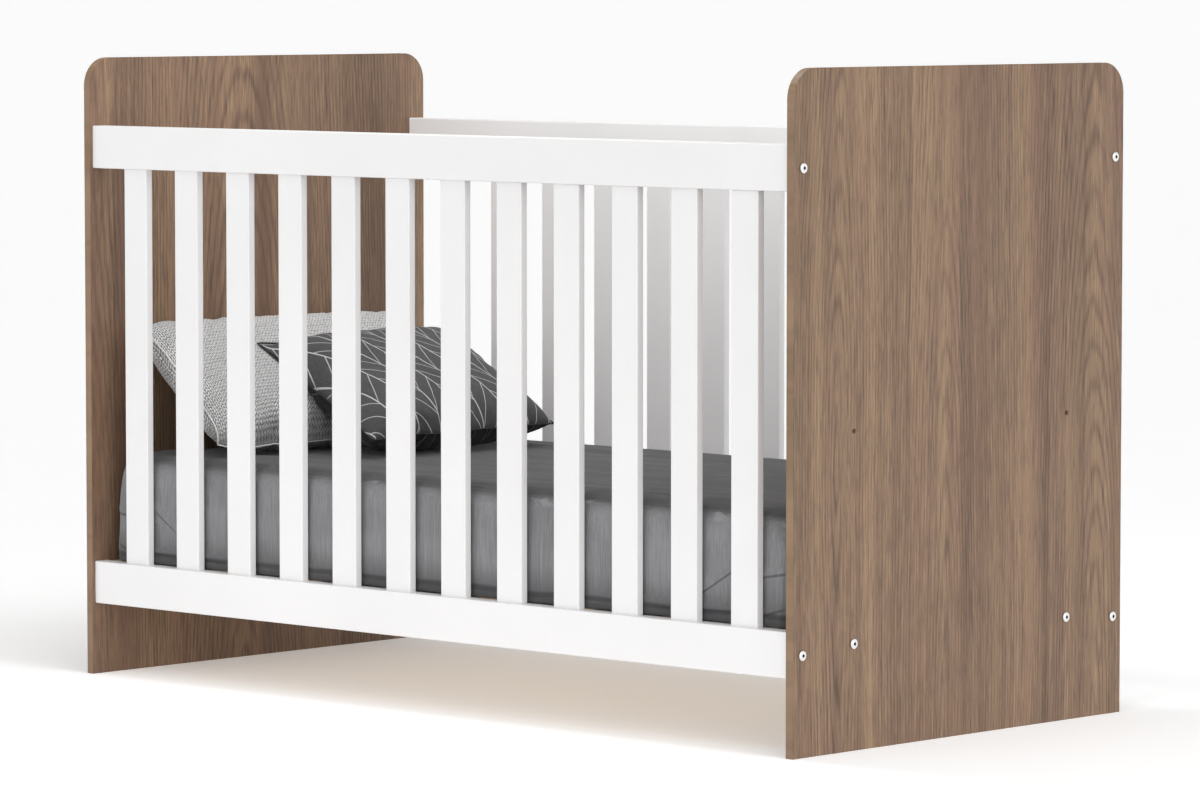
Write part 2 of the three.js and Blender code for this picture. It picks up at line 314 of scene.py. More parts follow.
def beech(name, along):
    """Sanded beech: pink-brown with short dark flecks. The grain runs along the given axis."""
    s = Shader(name, Roughness=0.62)
    fields = s.split(s.place())
    # The patterns change slowly along the grain, and fast across it.
    stretch = [260.0, 260.0, 260.0]
    stretch[along] = 7.0
    grain = s.noise(s.join(*(f * k for f, k in zip(fields, stretch))), detail=4.0, roughness=0.6)
    flecks = [900.0, 900.0, 900.0]
    flecks[along] = 190.0
    fleck = s.noise(s.join(*(f * k for f, k in zip(fields, flecks))), detail=1.0).above(0.64, 0.72)
    colour = s.ramp(grain, (0.3, srgb(196, 164, 124)), (0.55, srgb(211, 182, 143)),
                    (0.75, srgb(223, 198, 163)))
    s.set(Base_Color=s.mix(fleck * 0.35, colour, srgb(150, 112, 78)))
    s.bump(grain - fleck * 0.5, 0.00015, 0.4)
    return s.material


def sheet_cloth():
    """Brushed grey jersey: fine ribs that run down the sides and along the top."""
    s = Shader("grey_sheet", Roughness=0.95, Sheen_Weight=0.18, Sheen_Roughness=0.5,
               Specular_IOR_Level=0.12)
    x, y, z = s.split(s.place())
    upward = s.split(s.facing())[2].above(0.10, 0.95)
    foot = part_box("mattress")[0].z
    # Painted shade along the foot: a dark band at the hem, and a wider fade up the lowest part of the
    # sides.
    hem_shade = z.above(foot + 0.012, foot + 0.008)
    shade = z.above(foot + 0.060, foot)
    # The shadow under each fold near the corners.
    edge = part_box("mattress")[1]
    along = abs((abs(x) * -1.0 + edge.x) - (abs(y) * -1.0 + edge.y))
    shadow_drop = 0.004
    shadows = None
    for start, slope, near, far in SHEET_FOLDS:
        line = abs(z - (foot + start - shadow_drop) + along * slope).above(0.0026, 0.0008)
        line = line * along.above(near, near + 0.02) * along.above(far, far - 0.03)
        shadows = line if shadows is None else shadows.most(line)
    side = s.noise(s.join(x * 620.0, y * 620.0, z * 17.0), detail=3.0, roughness=0.65)
    top = s.noise(s.join(x * 9.0, y * 420.0, z * 420.0), detail=3.0, roughness=0.65)
    nap = side + (top - side) * upward
    cloud = s.noise(s.join(x * 9.0, y * 12.0, z * 16.0), detail=3.0)
    stitch_pitch = 0.0017
    rib = ((x + y) * (2 * math.pi / stitch_pitch)).sin()
    row = (z * (2 * math.pi / stitch_pitch)).sin()
    tone = nap * 0.66 + cloud * 0.34
    # Lit and shaded copies of the jersey: the sides are painted lighter and the top darker, as light
    # and shade fall on them.
    lit_side_colour = s.ramp(tone, (0.34, srgb(112, 112, 114)), (0.5, srgb(127, 127, 129)),
                     (0.66, srgb(141, 141, 143)))
    shaded_top_colour = s.ramp(tone, (0.36, srgb(66, 66, 67)), (0.5, srgb(76, 76, 77)),
                   (0.64, srgb(88, 88, 89)))
    cloth = s.mix(upward, lit_side_colour, shaded_top_colour)
    cloth = s.mix(shade * 0.75, cloth, srgb(70, 70, 71))
    cloth = s.mix(shadows * 0.60, cloth, srgb(54, 54, 56))
    # Creases along the rounded upper edge catch the light.
    crease = s.noise(s.join(x * 22.0, y * 62.0, z * 62.0), detail=4.0, roughness=0.6, distortion=1.0)
    on_edge = upward.above(0.0, 0.15) * upward.above(1.0, 0.80)
    cloth = s.mix(crease.above(0.54, 0.66) * (on_edge * 0.5 + upward * 0.12), cloth,
                  srgb(150, 150, 153))
    # Painted shadow in the groove over the hem, which wanders up and down a little.
    groove_height = 0.014
    groove_shadow = abs(z - (foot + groove_height) - (cloud - 0.5) * 0.010).above(0.0060, 0.0015)
    cloth = s.mix(groove_shadow * 0.62, cloth, srgb(46, 46, 48))
    # Painted shade at the hem, where the sheet turns under.
    s.set(Base_Color=s.mix(hem_shade * 0.40, cloth, srgb(58, 58, 59)))
    s.bump(nap * 0.5 + rib * row * 0.15, 0.0004, 0.35)
    return s.material


def ticking():
    """The mattress's own cover: off-white twill, quilted in a diamond grid."""
    s = Shader("mattress_ticking", Roughness=0.9, Sheen_Weight=0.15)
    x, y, z = s.split(s.place())
    twill_pitch = 0.0016
    quilt_pitch = 0.07
    twill = ((x + y + z) * (2 * math.pi / twill_pitch)).sin()
    quilt = abs(((x + y) / quilt_pitch).fract() - 0.5)
    quilt = quilt.most(abs(((x - y) / quilt_pitch).fract() - 0.5))
    stitch = quilt.above(0.47, 0.495)
    cloud = s.noise(s.place(), scale=9.0, detail=3.0)
    cloth = s.ramp(cloud + twill * 0.04, (0.3, srgb(206, 203, 196)), (0.7, srgb(226, 224, 219)))
    s.set(Base_Color=s.mix(stitch * 0.5, cloth, srgb(150, 147, 140)))
    s.bump(twill * 0.2 - stitch, 0.0012, 0.5)
    return s.material


def knit():
    """Pale knitted cover: columns of V-shaped stitches in thick soft yarn."""
    s = Shader("white_knit", Roughness=0.96, Sheen_Weight=0.2, Sheen_Roughness=0.5,
               Specular_IOR_Level=0.12)
    u, v, side = s.split(s.attribute("cloth"))
    soft = s.noise(s.join(u * 45.0, v * 45.0, side), detail=2.0) - 0.5
    stitch_width = 0.0066
    stitch_height = 0.0062
    column = (u + soft * 0.004) / stitch_width
    leg = abs(column.fract() - 0.5)
    row = (v + soft * 0.004) / stitch_height + leg * 1.2
    yarn = ((row.fract() * math.pi).sin() * (leg * (2 * math.pi)).sin()).most(0.0).sqrt()
    twist = s.noise(s.join(u * 1500.0, v * 700.0, side), detail=2.0)
    uneven = s.noise(s.join(u * 150.0, v * 150.0, side), detail=2.0, roughness=0.7)
    tone = yarn * 0.80 + twist * 0.12 + (uneven - 0.5) * 0.70 + 0.02
    # The ramp paints the low places between the loops dark, as shade, and the raised yarn white.
    s.set(Base_Color=s.ramp(tone, (0.16, srgb(84, 84, 86)), (0.40, srgb(216, 216, 217)),
                            (0.60, srgb(254, 254, 254)), (1.0, srgb(255, 255, 254))))
    s.bump(yarn + twist * 0.2 + uneven * 0.4, 0.0038, 1.0)
    return s.material


def leaf_print():
    """Charcoal cotton with pale leaf veins: long midribs with curved veins to both sides."""
    s = Shader("leaf_print", Roughness=0.9, Sheen_Weight=0.12, Specular_IOR_Level=0.15)
    u, v, side = s.split(s.attribute("cloth"))
    drift = s.noise(s.join(u * 6.0, v * 6.0, side * 5.0), detail=1.0) - 0.5
    sway = s.noise(s.join(u * 6.0 + 9.0, v * 6.0, side * 5.0), detail=1.0) - 0.5
    lean = math.radians(72)
    length = u * math.cos(lean) + v * math.sin(lean) + drift * 0.020
    across = v * math.cos(lean) - u * math.sin(lean) + sway * 0.020
    # Midribs stand half a leaf apart, and veins that curve a little cross between them in chevrons.
    leaf = 0.084
    cell = across / leaf
    offset = cell.fract() - 0.5
    away = abs(offset) * leaf
    rib = away.least(away * -1.0 + leaf / 2).above(0.0012, 0.0007)
    vein_step = 0.039
    # Each leaf's veins start at their own place along it, and those of its two halves alternate.
    shifted = cell.floor() * 0.37 + offset.above(-0.001, 0.001) * 0.5
    bend = away * 1.15 + (away * away) * 6.0
    vein = ((length - bend) / vein_step + shifted).fract()
    side_vein = (abs(vein - 0.5) * vein_step).above(0.0014, 0.0008)
    ink = rib.most(side_vein * 0.85)
    weave_pitch = 0.0011
    weave = (u * (2 * math.pi / weave_pitch)).sin() * (v * (2 * math.pi / weave_pitch)).sin()
    slub = s.noise(s.join(u * 700.0, v * 90.0, side), detail=3.0)
    cloud = s.noise(s.join(u * 9.0, v * 9.0, side), detail=2.0)
    cloth = s.ramp(slub * 0.6 + weave * 0.08 + cloud * 0.4, (0.3, srgb(68, 68, 69)),
                   (0.7, srgb(90, 90, 91)))
    # The underside is painted much darker, as shade, and the print hardly shows there.
    cloth = s.mix(side * 0.85, cloth, srgb(24, 24, 25))
    ink = ink * (side * -0.75 + 1.0)
    worn = s.noise(s.join(u * 120.0, v * 120.0, side), detail=2.0) * 0.35 + 0.72
    s.set(Base_Color=s.mix(ink * worn, cloth, srgb(208, 208, 207)))
    s.bump(weave + slub, 0.0003, 0.5)
    return s.material


def thread(name, dark, light):
    """The cord of a seam, in twisted thread between two grey levels."""
    s = Shader(name, Roughness=0.9, Specular_IOR_Level=0.15)
    twist = s.noise(s.place(), scale=900.0, detail=2.0)
    s.set(Base_Color=s.ramp(twist, (0.3, srgb(dark, dark, dark)), (0.7, srgb(light, light, light))))
    s.bump(twist, 0.0003, 0.5)
    return s.material


# ---- CAD nodes: rounded edges and finishes ----------------------------------------------------
# How far the edges of each kind of piece are rounded.
PANEL_ROUNDING = 0.9 * MM
PAINTED_ROUNDING = 0.5 * MM
METAL_ROUNDING = 0.15 * MM
BASE_ROUNDING = 1.0 * MM


def soften_edges(node, width):
    """Smooth shading and a small rounding on the sharp edges of a CAD piece."""
    sharp = math.radians(30)
    piece = NODES[node]
    custom = piece.data.attributes.get("custom_normal")
    if custom:
        piece.data.attributes.remove(custom)
    piece.data.polygons.foreach_set("use_smooth", [True] * len(piece.data.polygons))
    weld = piece.modifiers.new("weld", "WELD")
    weld.merge_threshold = 0.00001
    bevel = piece.modifiers.new("round", "BEVEL")
    bevel.width = width
    bevel.segments = 2
    bevel.limit_method = "ANGLE"
    bevel.angle_limit = sharp
    bevel.harden_normals = True
    normals = piece.modifiers.new("normals", "WEIGHTED_NORMAL")
    normals.keep_sharp = True


def finish(nodes, material, width):
    """Gives CAD pieces a material and rounds their edges by the given width."""
    for node in nodes:
        NODES[node].data.materials.clear()
        NODES[node].data.materials.append(material)
        soften_edges(node, width)


def finish_cad():
    foil_shifts = (0.31, 0.0)
    for node, shift in zip(PANEL_NODES, foil_shifts):
        finish([node], laminate(f"walnut_{node}", shift), PANEL_ROUNDING)
    finish(WHITE_NODES, lacquer(), PAINTED_ROUNDING)
    for node in FASTENER_NODES:
        finish([node], zinc(node), METAL_ROUNDING)
    finish(INSERT_NODES, brass(), METAL_ROUNDING)
    along_x, along_y = 0, 1
    slats = [n for n in BASE_NODES if "slat" in n]
    ends = ["base_left_rail", "base_right_rail"]
    sides = ["base_front_rail", "base_back_rail"]
    finish(slats + ends, beech("beech_across", along_y), BASE_ROUNDING)
    finish(sides, beech("beech_along", along_x), BASE_ROUNDING)


# ---- mesh building ----------------------------------------------------------------------------
def new_piece(name, points, faces, material):
    """A smooth-shaded mesh in the scene, without a material where that is None."""
    mesh = bpy.data.meshes.new(name)
    mesh.from_pydata([tuple(p) for p in points], [], [tuple(f) for f in faces])
    mesh.polygons.foreach_set("use_smooth", [True] * len(mesh.polygons))
    if material:
        mesh.materials.append(material)
    piece = bpy.data.objects.new(name, mesh)
    scene.collection.objects.link(piece)
    return piece


# ---- stage: floor, light and camera -----------------------------------------------------------
# Each wide sun: its name, the direction it shines from, and its strength.
SUNS = [("high_light", (0.55, -0.70, 1.0), 0.55), ("right_light", (1.0, -0.2, 0.6), 1.25),
        ("front_light", (0.0, -1.0, 0.6), 0.38)]
SUN_WIDTH = math.radians(70)

# The softbox over the crib: its middle, the direction it shines from, its sides and its power.
SOFTBOX_PLACE = (0.0, -0.28, 1.9)
SOFTBOX_DIRECTION = (0.0, -0.2, 1.0)
SOFTBOX_SIZE = (1.2, 0.3)
SOFTBOX_POWER = 11.5

# The photo's view: where the camera stands, how many degrees it looks down and is turned from +Y,
# and its lens and sensor in millimetres.
CAMERA_PLACE = (5.5423, -5.8401, 0.9932)
CAMERA_DIP = 4.1725
CAMERA_TURN = 43.399
LENS_LENGTH = 175.3
SENSOR_WIDTH = 36.0


def stage():
    """The white floor, the lights and the surroundings."""
    s = Shader("floor_paper", Roughness=0.9, Specular_IOR_Level=0.1)
    grain = s.noise(s.place(), scale=3.0, detail=2.0)
    s.set(Base_Color=s.ramp(grain, (0.3, srgb(247, 247, 247)), (0.7, srgb(249, 249, 249))))
    s.set(Emission_Color=(1, 1, 1, 1), Emission_Strength=0.28)
    reach = 400.0
    corners = [(-reach, -reach, 0), (reach, -reach, 0), (reach, reach, 0), (-reach, reach, 0)]
    floor = new_piece("floor", corners, [(0, 1, 2, 3)], s.material)
    studio_walls()
    for name, direction, strength in SUNS:
        soft_sun(name, direction, strength)
    overhead_box()


def studio_walls():
    """Light from all round: white at the horizon, and dimmer overhead."""
    world = bpy.data.worlds.new("studio")
    world.use_nodes = True
    tree = world.node_tree
    direction = tree.nodes.new("ShaderNodeTexCoord")
    parts = tree.nodes.new("ShaderNodeSeparateXYZ")
    tree.links.new(direction.outputs["Generated"], parts.inputs["Vector"])
    ramp = tree.nodes.new("ShaderNodeValToRGB")
    tree.links.new(parts.outputs["Z"], ramp.inputs["Fac"])
    horizon, overhead = ramp.color_ramp.elements
    horizon.position, horizon.color = 0.20, (1, 1, 1, 1)
    overhead.position, overhead.color = 0.45, (0.20, 0.20, 0.20, 1)
    tree.links.new(ramp.outputs["Color"], tree.nodes["Background"].inputs["Color"])
    tree.nodes["Background"].inputs["Strength"].default_value = 1.15
    scene.world = world


def soft_sun(name, direction, strength):
    """A very wide sun, which lights the floor evenly and leaves only soft shadows."""
    light = bpy.data.lights.new(name, "SUN")
    light.angle = SUN_WIDTH
    light.energy = strength
    lamp = bpy.data.objects.new(name, light)
    scene.collection.objects.link(lamp)
    lamp.rotation_euler = Vector(direction).to_track_quat("Z", "Y").to_euler()


def overhead_box():
    """A softbox over the open top, which lights the inside of the crib."""
    light = bpy.data.lights.new("overhead_box", "AREA")
    light.shape = "RECTANGLE"
    light.size, light.size_y = SOFTBOX_SIZE
    light.energy = SOFTBOX_POWER
    lamp = bpy.data.objects.new("overhead_box", light)
    scene.collection.objects.link(lamp)
    lamp.location = SOFTBOX_PLACE
    lamp.rotation_euler = Vector(SOFTBOX_DIRECTION).to_track_quat("Z", "Y").to_euler()


def camera():
    """The camera that takes the photo's view."""
    lens = bpy.data.cameras.new("camera")
    lens.lens = LENS_LENGTH
    lens.sensor_width = SENSOR_WIDTH
    lens.sensor_fit = "HORIZONTAL"
    lens.clip_end = 1000.0
    holder = bpy.data.objects.new("camera", lens)
    holder.location = CAMERA_PLACE
    holder.rotation_euler = (math.radians(90 - CAMERA_DIP), 0, math.radians(CAMERA_TURN))
    scene.collection.objects.link(holder)
    scene.camera = holder


# ---- mattress and fitted sheet ----------------------------------------------------------------
EDGE_RADIUS = 0.026
SHEET_STEP = 0.0055
CORE_STEP = 0.014
SHEET_THICKNESS = 0.0012
TUCK = 0.085

# The radius of the upright corners halfway up, and what is added to it at the top and the foot.
CORNER_RADIUS = 0.028
TOP_CORNER_EXTRA = 0.025
FOOT_CORNER_EXTRA = 0.010


def rounded_box(low, high, radius, step):
    """Points and quads of a box with rounded edges, on a grid of about the given step."""
    low, high = np.array(low), np.array(high)
    counts = np.maximum(2, np.round((high - low) / step)).astype(int)
    index, points, faces = {}, [], []

    def vertex(key):
        if key not in index:
            index[key] = len(points)
            points.append(low + (high - low) * np.array(key) / counts)
        return index[key]

    for axis in range(3):
        a, b = (axis + 1) % 3, (axis + 2) % 3
        for end in (0, int(counts[axis])):
            for i in range(counts[a]):
                for j in range(counts[b]):
                    ring = []
                    for di, dj in ((0, 0), (1, 0), (1, 1), (0, 1)):
                        key = [0, 0, 0]
                        key[axis], key[a], key[b] = end, i + di, j + dj
                        ring.append(vertex(tuple(key)))
                    faces.append(ring if end else ring[::-1])
    points = np.array(points)
    inner = np.clip(points, low + radius, high - radius)
    offset = points - inner
    length = np.linalg.norm(offset, axis=1, keepdims=True)
    normals = offset / np.maximum(length, TINY)
    return inner + normals * np.minimum(length, radius), normals, faces


def round_corners(plan, half, radius):
    """Turns the square corners of a rectangle of points into arcs, with the points inside in step."""
    inner = half - radius
    out = (abs(plan) - inner).clip(0)
    shrink = out.max(axis=1) / np.maximum(np.linalg.norm(out, axis=1), TINY)
    rounded = np.sign(plan) * (inner + out * shrink[:, None])
    return np.where((out.min(axis=1) > 0)[:, None], rounded, plan)


def waves(points, wavelength, seed):
    """Smooth seeded noise round zero, mostly from -1 to 1: a sum of sines in many directions."""
    count = 9
    rng = np.random.default_rng(seed)
    total = np.zeros(len(points))
    for _ in range(count):
        direction = rng.normal(size=3) / np.array(wavelength)
        total += np.sin(2 * math.pi * points @ direction * 0.6 + rng.uniform(0, 2 * math.pi))
    return total / math.sqrt(count)


def bell(value, width):
    """1 at zero, and falling off smoothly to both sides."""
    return np.exp(-(value / width) ** 2)


class MattressForm:
    """The shape that the mattress core and its sheet share, in the CAD mattress's box."""

    def __init__(self):
        low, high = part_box("mattress")
        self.low, self.high = np.array(low), np.array(high)
        self.middle = (self.low + self.high) / 2
        self.half = (self.high - self.low) / 2

    def body(self, inset, step):
        """Points, normals and faces of the full shape, drawn in from the box by the inset."""
        radius = EDGE_RADIUS
        inward = np.array([inset, inset, inset])
        points, normals, faces = rounded_box(
            self.low + inward, self.high - inward, radius - inset, step)
        share = (points - self.middle) / self.half
        x, y, z = share.T
        # The sides belly out between the edges, and the top is a little crowned.
        side_belly, top_crown = 0.0035, 0.002
        belly = side_belly * (1 - z ** 2) * np.maximum(abs(normals[:, 0]), abs(normals[:, 1]))
        crown = top_crown * (1 - x ** 4) * (1 - y ** 4) * np.maximum(normals[:, 2], 0) - top_crown
        points = points + normals * belly[:, None]
        points[:, 2] += crown * (z > 0)
        # The upright corners are roundest at the top, and least round halfway up.
        above, below = z.clip(0, 1) ** 2, z.clip(-1, 0) ** 2
        corner = CORNER_RADIUS + TOP_CORNER_EXTRA * above + FOOT_CORNER_EXTRA * below
        plan = round_corners(points[:, :2] - self.middle[:2], self.half[:2], corner[:, None])
        points[:, :2] = self.middle[:2] + plan
        # The lower edge is squarer than the upper one, because the mattress's weight flattens it.
        size = self.high[2] - self.low[2]
        foot_radius = radius / 8
        points[:, 2] = self.low[2] + np.interp(
            points[:, 2] - self.low[2], [0, radius, size / 2, size], [0, foot_radius, size / 2, size])
        return points, normals, faces

    def folds(self, points, normals):
        """How far the sheet stands off the core at each point: edge roll, gathers and creases."""
        from_middle = abs(points - self.middle)
        along = (self.half[0] - from_middle[:, 0]) - (self.half[1] - from_middle[:, 1])
        height = points[:, 2] - self.low[2]
        share = height / (self.high[2] - self.low[2])
        upright = 1 - abs(normals[:, 2])
        corner = np.sign(points[:, 0]) * 1.3 + np.sign(points[:, 1]) * 2.1
        off = np.zeros(len(points))
        # Gathers that fan out from each lower corner, where the elastic pulls the cloth in.
        gather_depth, gather_spread, gathers_per_metre = 0.0030, 0.10, 38
        turns = along * gathers_per_metre + corner
        gather = np.sin(2 * math.pi * turns + 5 * share + waves(points, (0.1,) * 3, seed=3))
        low_share = (1 - share).clip(0, 1)
        off += gather_depth * bell(along, gather_spread) * low_share ** 1.6 * (gather + 1) / 2
        fold_depth, fold_width = 0.0028, 0.0055
        for start, slope, near, far in SHEET_FOLDS:
            line = height - start + abs(along) * slope
            span = bell(abs(along) - (near + far) / 2, (far - near) / 2)
            off += fold_depth * bell(line, fold_width) * span * upright
        # The boxed edge of the core shows through as a soft roll round the top and the bottom.
        top_roll, foot_roll = 0.0016, 0.0012
        roll = top_roll * bell(share - 0.93, 0.045) + foot_roll * bell(share - 0.13, 0.05)
        off += roll * (1 + 0.5 * waves(points, (0.25, 0.25, 0.2), seed=11))
        # Slack cloth on the top, in long low ripples that follow the mattress.
        slack_depth = 0.0011
        slack = waves(points, (0.9, 0.10, 0.5), seed=5) + 0.6 * waves(points, (0.5, 0.055, 0.5), seed=6)
        edge = bell(self.half[1] - from_middle[:, 1] - 0.05, 0.09)
        off += slack_depth * (0.35 + edge) * (slack + 1.6).clip(0, 3.2) * np.maximum(normals[:, 2], 0)
        # The rolled hem stands out round the foot.
        hem_depth, hem_middle, hem_width = 0.0022, 0.004, 0.009
        off += hem_depth * bell(height - hem_middle, hem_width) * upright
        # Faint upright drags on the sides.
        drag_depth = 0.0007
        drag = waves(points, (0.12, 0.12, 0.6), seed=8) + 0.5 * waves(points, (0.05, 0.05, 0.5), seed=9)
        off += drag_depth * (drag + 1.6).clip(0, 3.2) * upright
        return off


def mattress():
    """The core in its fitted sheet, which stand in for the CAD mattress. Gives the sheet."""
    form = MattressForm()
    points, normals, faces = form.body(0.0, SHEET_STEP)
    points = points + normals * form.folds(points, normals)[:, None]
    points[:, 2] = np.maximum(points[:, 2], form.low[2])
    # It lies flat against the panels and the slats where it would bulge into them.
    room = np.array([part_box("right_end_panel")[0].x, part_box("back_slat_01")[0].y])
    room = room - SHEET_THICKNESS
    points[:, :2] = np.clip(points[:, :2], -room, room)
    # Underneath, the sheet is turned in by the width of the tuck and ends in a gathered hem.
    centre = np.array([points[face].mean(axis=0) for face in faces])
    inside = form.half[:2] - abs(centre[:, :2] - form.middle[:2])
    straight_down = -0.99
    under = np.array([normals[face, 2].mean() for face in faces]) < straight_down
    kept = [f for f, gap, below in zip(faces, inside.min(axis=1), under) if not (below and gap > TUCK)]
    sheet = new_piece("fitted_sheet", points, kept, sheet_cloth())
    drop_loose_points(sheet)
    shell = sheet.modifiers.new("cloth", "SOLIDIFY")
    shell.thickness = SHEET_THICKNESS
    shell.offset = -1
    apply_modifiers(sheet)

    points, _, faces = form.body(2 * SHEET_THICKNESS, CORE_STEP)
    core = new_piece("mattress_core", points, faces, ticking())

    size = 2 * form.half
    flat = (size[1] + 2 * size[2] + 2 * TUCK, size[0] + 2 * size[2] + 2 * TUCK)
    cut_out = size[2] + TUCK
    flat[0] * flat[1] - 4 * cut_out ** 2
    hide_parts("mattress")
    for piece in (sheet, core):
        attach(piece, "mattress")
    return sheet


def drop_loose_points(piece):
    """Deletes the points that no face uses."""
    mesh = bmesh.new()
    mesh.from_mesh(piece.data)
    loose = [v for v in mesh.verts if not v.link_faces]
    bmesh.ops.delete(mesh, geom=loose, context="VERTS")
    mesh.to_mesh(piece.data)
    mesh.free()


def apply_modifiers(piece):
    """Bakes the modifiers of a new piece into its mesh."""
    shape = piece.evaluated_get(bpy.context.evaluated_depsgraph_get())
    mesh = bpy.data.meshes.new_from_object(shape)
    piece.modifiers.clear()
    piece.data = mesh


# ---- cushions ---------------------------------------------------------------------------------
CUSHION_CELL = 0.0075
PRESSURE = 6.0
STIFFNESS = 12.0
CORD_RADIUS = 0.0011
# The size of the flat panels, as a multiple of the finished cushion's.
CUT = 1.06
# The gap that is left where a cushion is pressed flat against something.
CLEARANCE = 0.002
# How much of the simulated puckers the seam and the faces keep.
SEAM_DETAIL = 0.3
FACE_DETAIL = 0.7
# The higher this power, the fuller a cushion is towards its seam.
SQUARENESS = 3.9

# How far each cushion's faces stand off its middle, how much of its size its sides pull in, how
# round its corners are, how far the seam rises at the front and at the low end, how far the high
# end reaches out, and how far the tip of its high front corner stands out. The pulls are shares of
# its size, and the rest is in metres.
WHITE_FILL = {"above": 0.047, "below": 0.063, "depth_pull": 0.034, "width_pull": 0.026,
              "corner": 0.050, "front_rise": 0.028, "low_rise": -0.012, "reach": 0.003, "tip": 0.0}
DARK_FILL = {"above": 0.052, "below": 0.050, "depth_pull": 0.006, "width_pull": 0.054,
             "corner": 0.005, "front_rise": 0.0, "low_rise": 0.009, "reach": 0.0, "tip": 0.015}


class CushionPlace:
    """The middle, the axes and the size of a CAD cushion: depth runs down its slope."""

    def __init__(self, node):
        points = np.array([v.co for v in NODES[node].data.vertices])
        _, _, (width, _, up) = np.linalg.svd(points - points.mean(axis=0), full_matrices=False)
        width = width * np.sign(width[1])
        up = up * np.sign(up[2])
        self.axes = np.array([np.cross(width, up), width, up])
        local = points @ self.axes.T
        low, high = local.min(axis=0), local.max(axis=0)
        # The seam's height is that of the points near the two ends of the width.
        near_end = 0.98
        ends = abs(local[:, 1] - (low + high)[1] / 2) > near_end * (high - low)[1] / 2
        seam = local[ends, 2].mean()
        self.middle = np.array([(low + high)[0] / 2, (low + high)[1] / 2, seam])
        self.depth, self.width = (high - low)[:2]

    def to_world(self, local):
        """Moves points from the cushion's own axes to where it lies."""
        return (local + self.middle) @ self.axes


class PillowGrid:
    """Two rectangular panels on the same grid, which share the points of their edge.

    At each point, a and b say how far down the slope and how far across it the point is, from -1
    to 1, and side is 1 on the top panel, -1 on the bottom one and 0 on the seam.
    """

    def __init__(self, depth, width, cell):
        rows, columns = round(depth / cell), round(width / cell)
        a = np.linspace(-1, 1, rows + 1)
        b = np.linspace(-1, 1, columns + 1)
        self.a, self.b = (grid.ravel() for grid in np.meshgrid(a, b, indexing="ij"))
        rim = (abs(self.a) == 1) | (abs(self.b) == 1)
        count = len(self.a)
        self.top = np.arange(count).reshape(rows + 1, -1)
        bottom = np.arange(count)
        bottom[~rim] = count + np.arange((~rim).sum())
        self.bottom = bottom.reshape(rows + 1, -1)
        self.a = np.concatenate([self.a, self.a[~rim]])
        self.b = np.concatenate([self.b, self.b[~rim]])
        self.side = np.concatenate([np.where(rim, 0.0, 1.0), -np.ones((~rim).sum())])

    def faces(self):
        """The quads of the top panel, and then those of the bottom one."""
        quads = []
        for grid, step in ((self.top, 1), (self.bottom, -1)):
            corners = [grid[:-1, :-1], grid[1:, :-1], grid[1:, 1:], grid[:-1, 1:]][::step]
            quads.append(np.stack([c.ravel() for c in corners], axis=1))
        return np.concatenate(quads)

    def edges(self):
        """Each edge once, as a pair of points."""
        quads = self.faces()
        pairs = np.concatenate([quads[:, [i, (i + 1) % 4]] for i in range(4)])
        return np.unique(np.sort(pairs, axis=1), axis=0)

    def rim(self):
        """The points of the seam, in order round the cushion."""
        top = self.top
        return np.concatenate([top[0, :-1], top[:-1, -1], top[-1, :0:-1], top[:0:-1, 0]])


def blown_up(grid, depth, width, seed):
    """Starts the two sewn panels nearly flat and blows them up with a cloth simulation."""
    start_height = 0.012
    unevenness = 0.002
    rng = np.random.default_rng(seed)
    fullness = np.sqrt((1 - grid.a ** 4) * (1 - grid.b ** 4))
    z = grid.side * fullness * (start_height + unevenness * rng.uniform(-1, 1, len(fullness)))
    points = np.stack([grid.a * depth / 2, grid.b * width / 2, z], axis=1)
    piece = new_piece("cushion_blank", points, grid.faces(), None)
    cloth = piece.modifiers.new("cloth", "CLOTH")
    settings = cloth.settings
    settings.quality = 8
    settings.mass = 0.3
    settings.tension_stiffness = STIFFNESS
    settings.compression_stiffness = STIFFNESS
    settings.shear_stiffness = STIFFNESS * 0.4
    settings.bending_stiffness = 0.05
    settings.air_damping = 4.0
    settings.use_pressure = True
    settings.uniform_pressure_force = PRESSURE
    settings.effector_weights.gravity = 0
    cloth.collision_settings.use_collision = False
    cloth.collision_settings.use_self_collision = False
    last_frame = 40
    cloth.point_cache.frame_end = last_frame
    for frame_number in range(1, last_frame + 1):
        scene.frame_set(frame_number)
    shape = piece.evaluated_get(bpy.context.evaluated_depsgraph_get())
    points = np.array([v.co for v in shape.data.vertices])
    bpy.data.objects.remove(piece)
    scene.frame_set(1)
    return points


def plump_form(grid, place, fill):
    """The broad shape: sides that pull in between rounded corners, and a full crown on each face."""
    a, b = grid.a, grid.b
    fullness = np.sqrt((1 - abs(a) ** SQUARENESS) * (1 - abs(b) ** SQUARENESS))
    # These are 1 at the front side and at the high end, and 0 at the opposite ones.
    front, high_end = (1 - b) / 2, (1 - a) / 2
    rise = fill["front_rise"] * front ** 2 * (1 - a ** 8) + fill["low_rise"] * (1 - high_end) ** 2
    crown = np.where(grid.side > 0, fill["above"] - rise, fill["below"] + rise)
    half = np.array([place.depth, place.width]) / 2
    plan = round_corners(np.stack([a, b], axis=1) * half, half, fill["corner"])
    plan[:, 0] *= 1 - fill["depth_pull"] * (1 - b ** 2)
    plan[:, 1] *= 1 - fill["width_pull"] * (1 - a ** 2)
    plan[:, 0] -= fill["reach"] * high_end
    plan[:, 1] -= fill["tip"] * (front * high_end) ** 5
    return np.column_stack([plan, rise + grid.side * crown * fullness])


def scaled_like(points, form):
    """Scales the blown-up shape to the broad one along each axis."""
    low, high = points.min(axis=0), points.max(axis=0)
    return (points - (low + high) / 2) * np.ptp(form, axis=0) / (high - low)


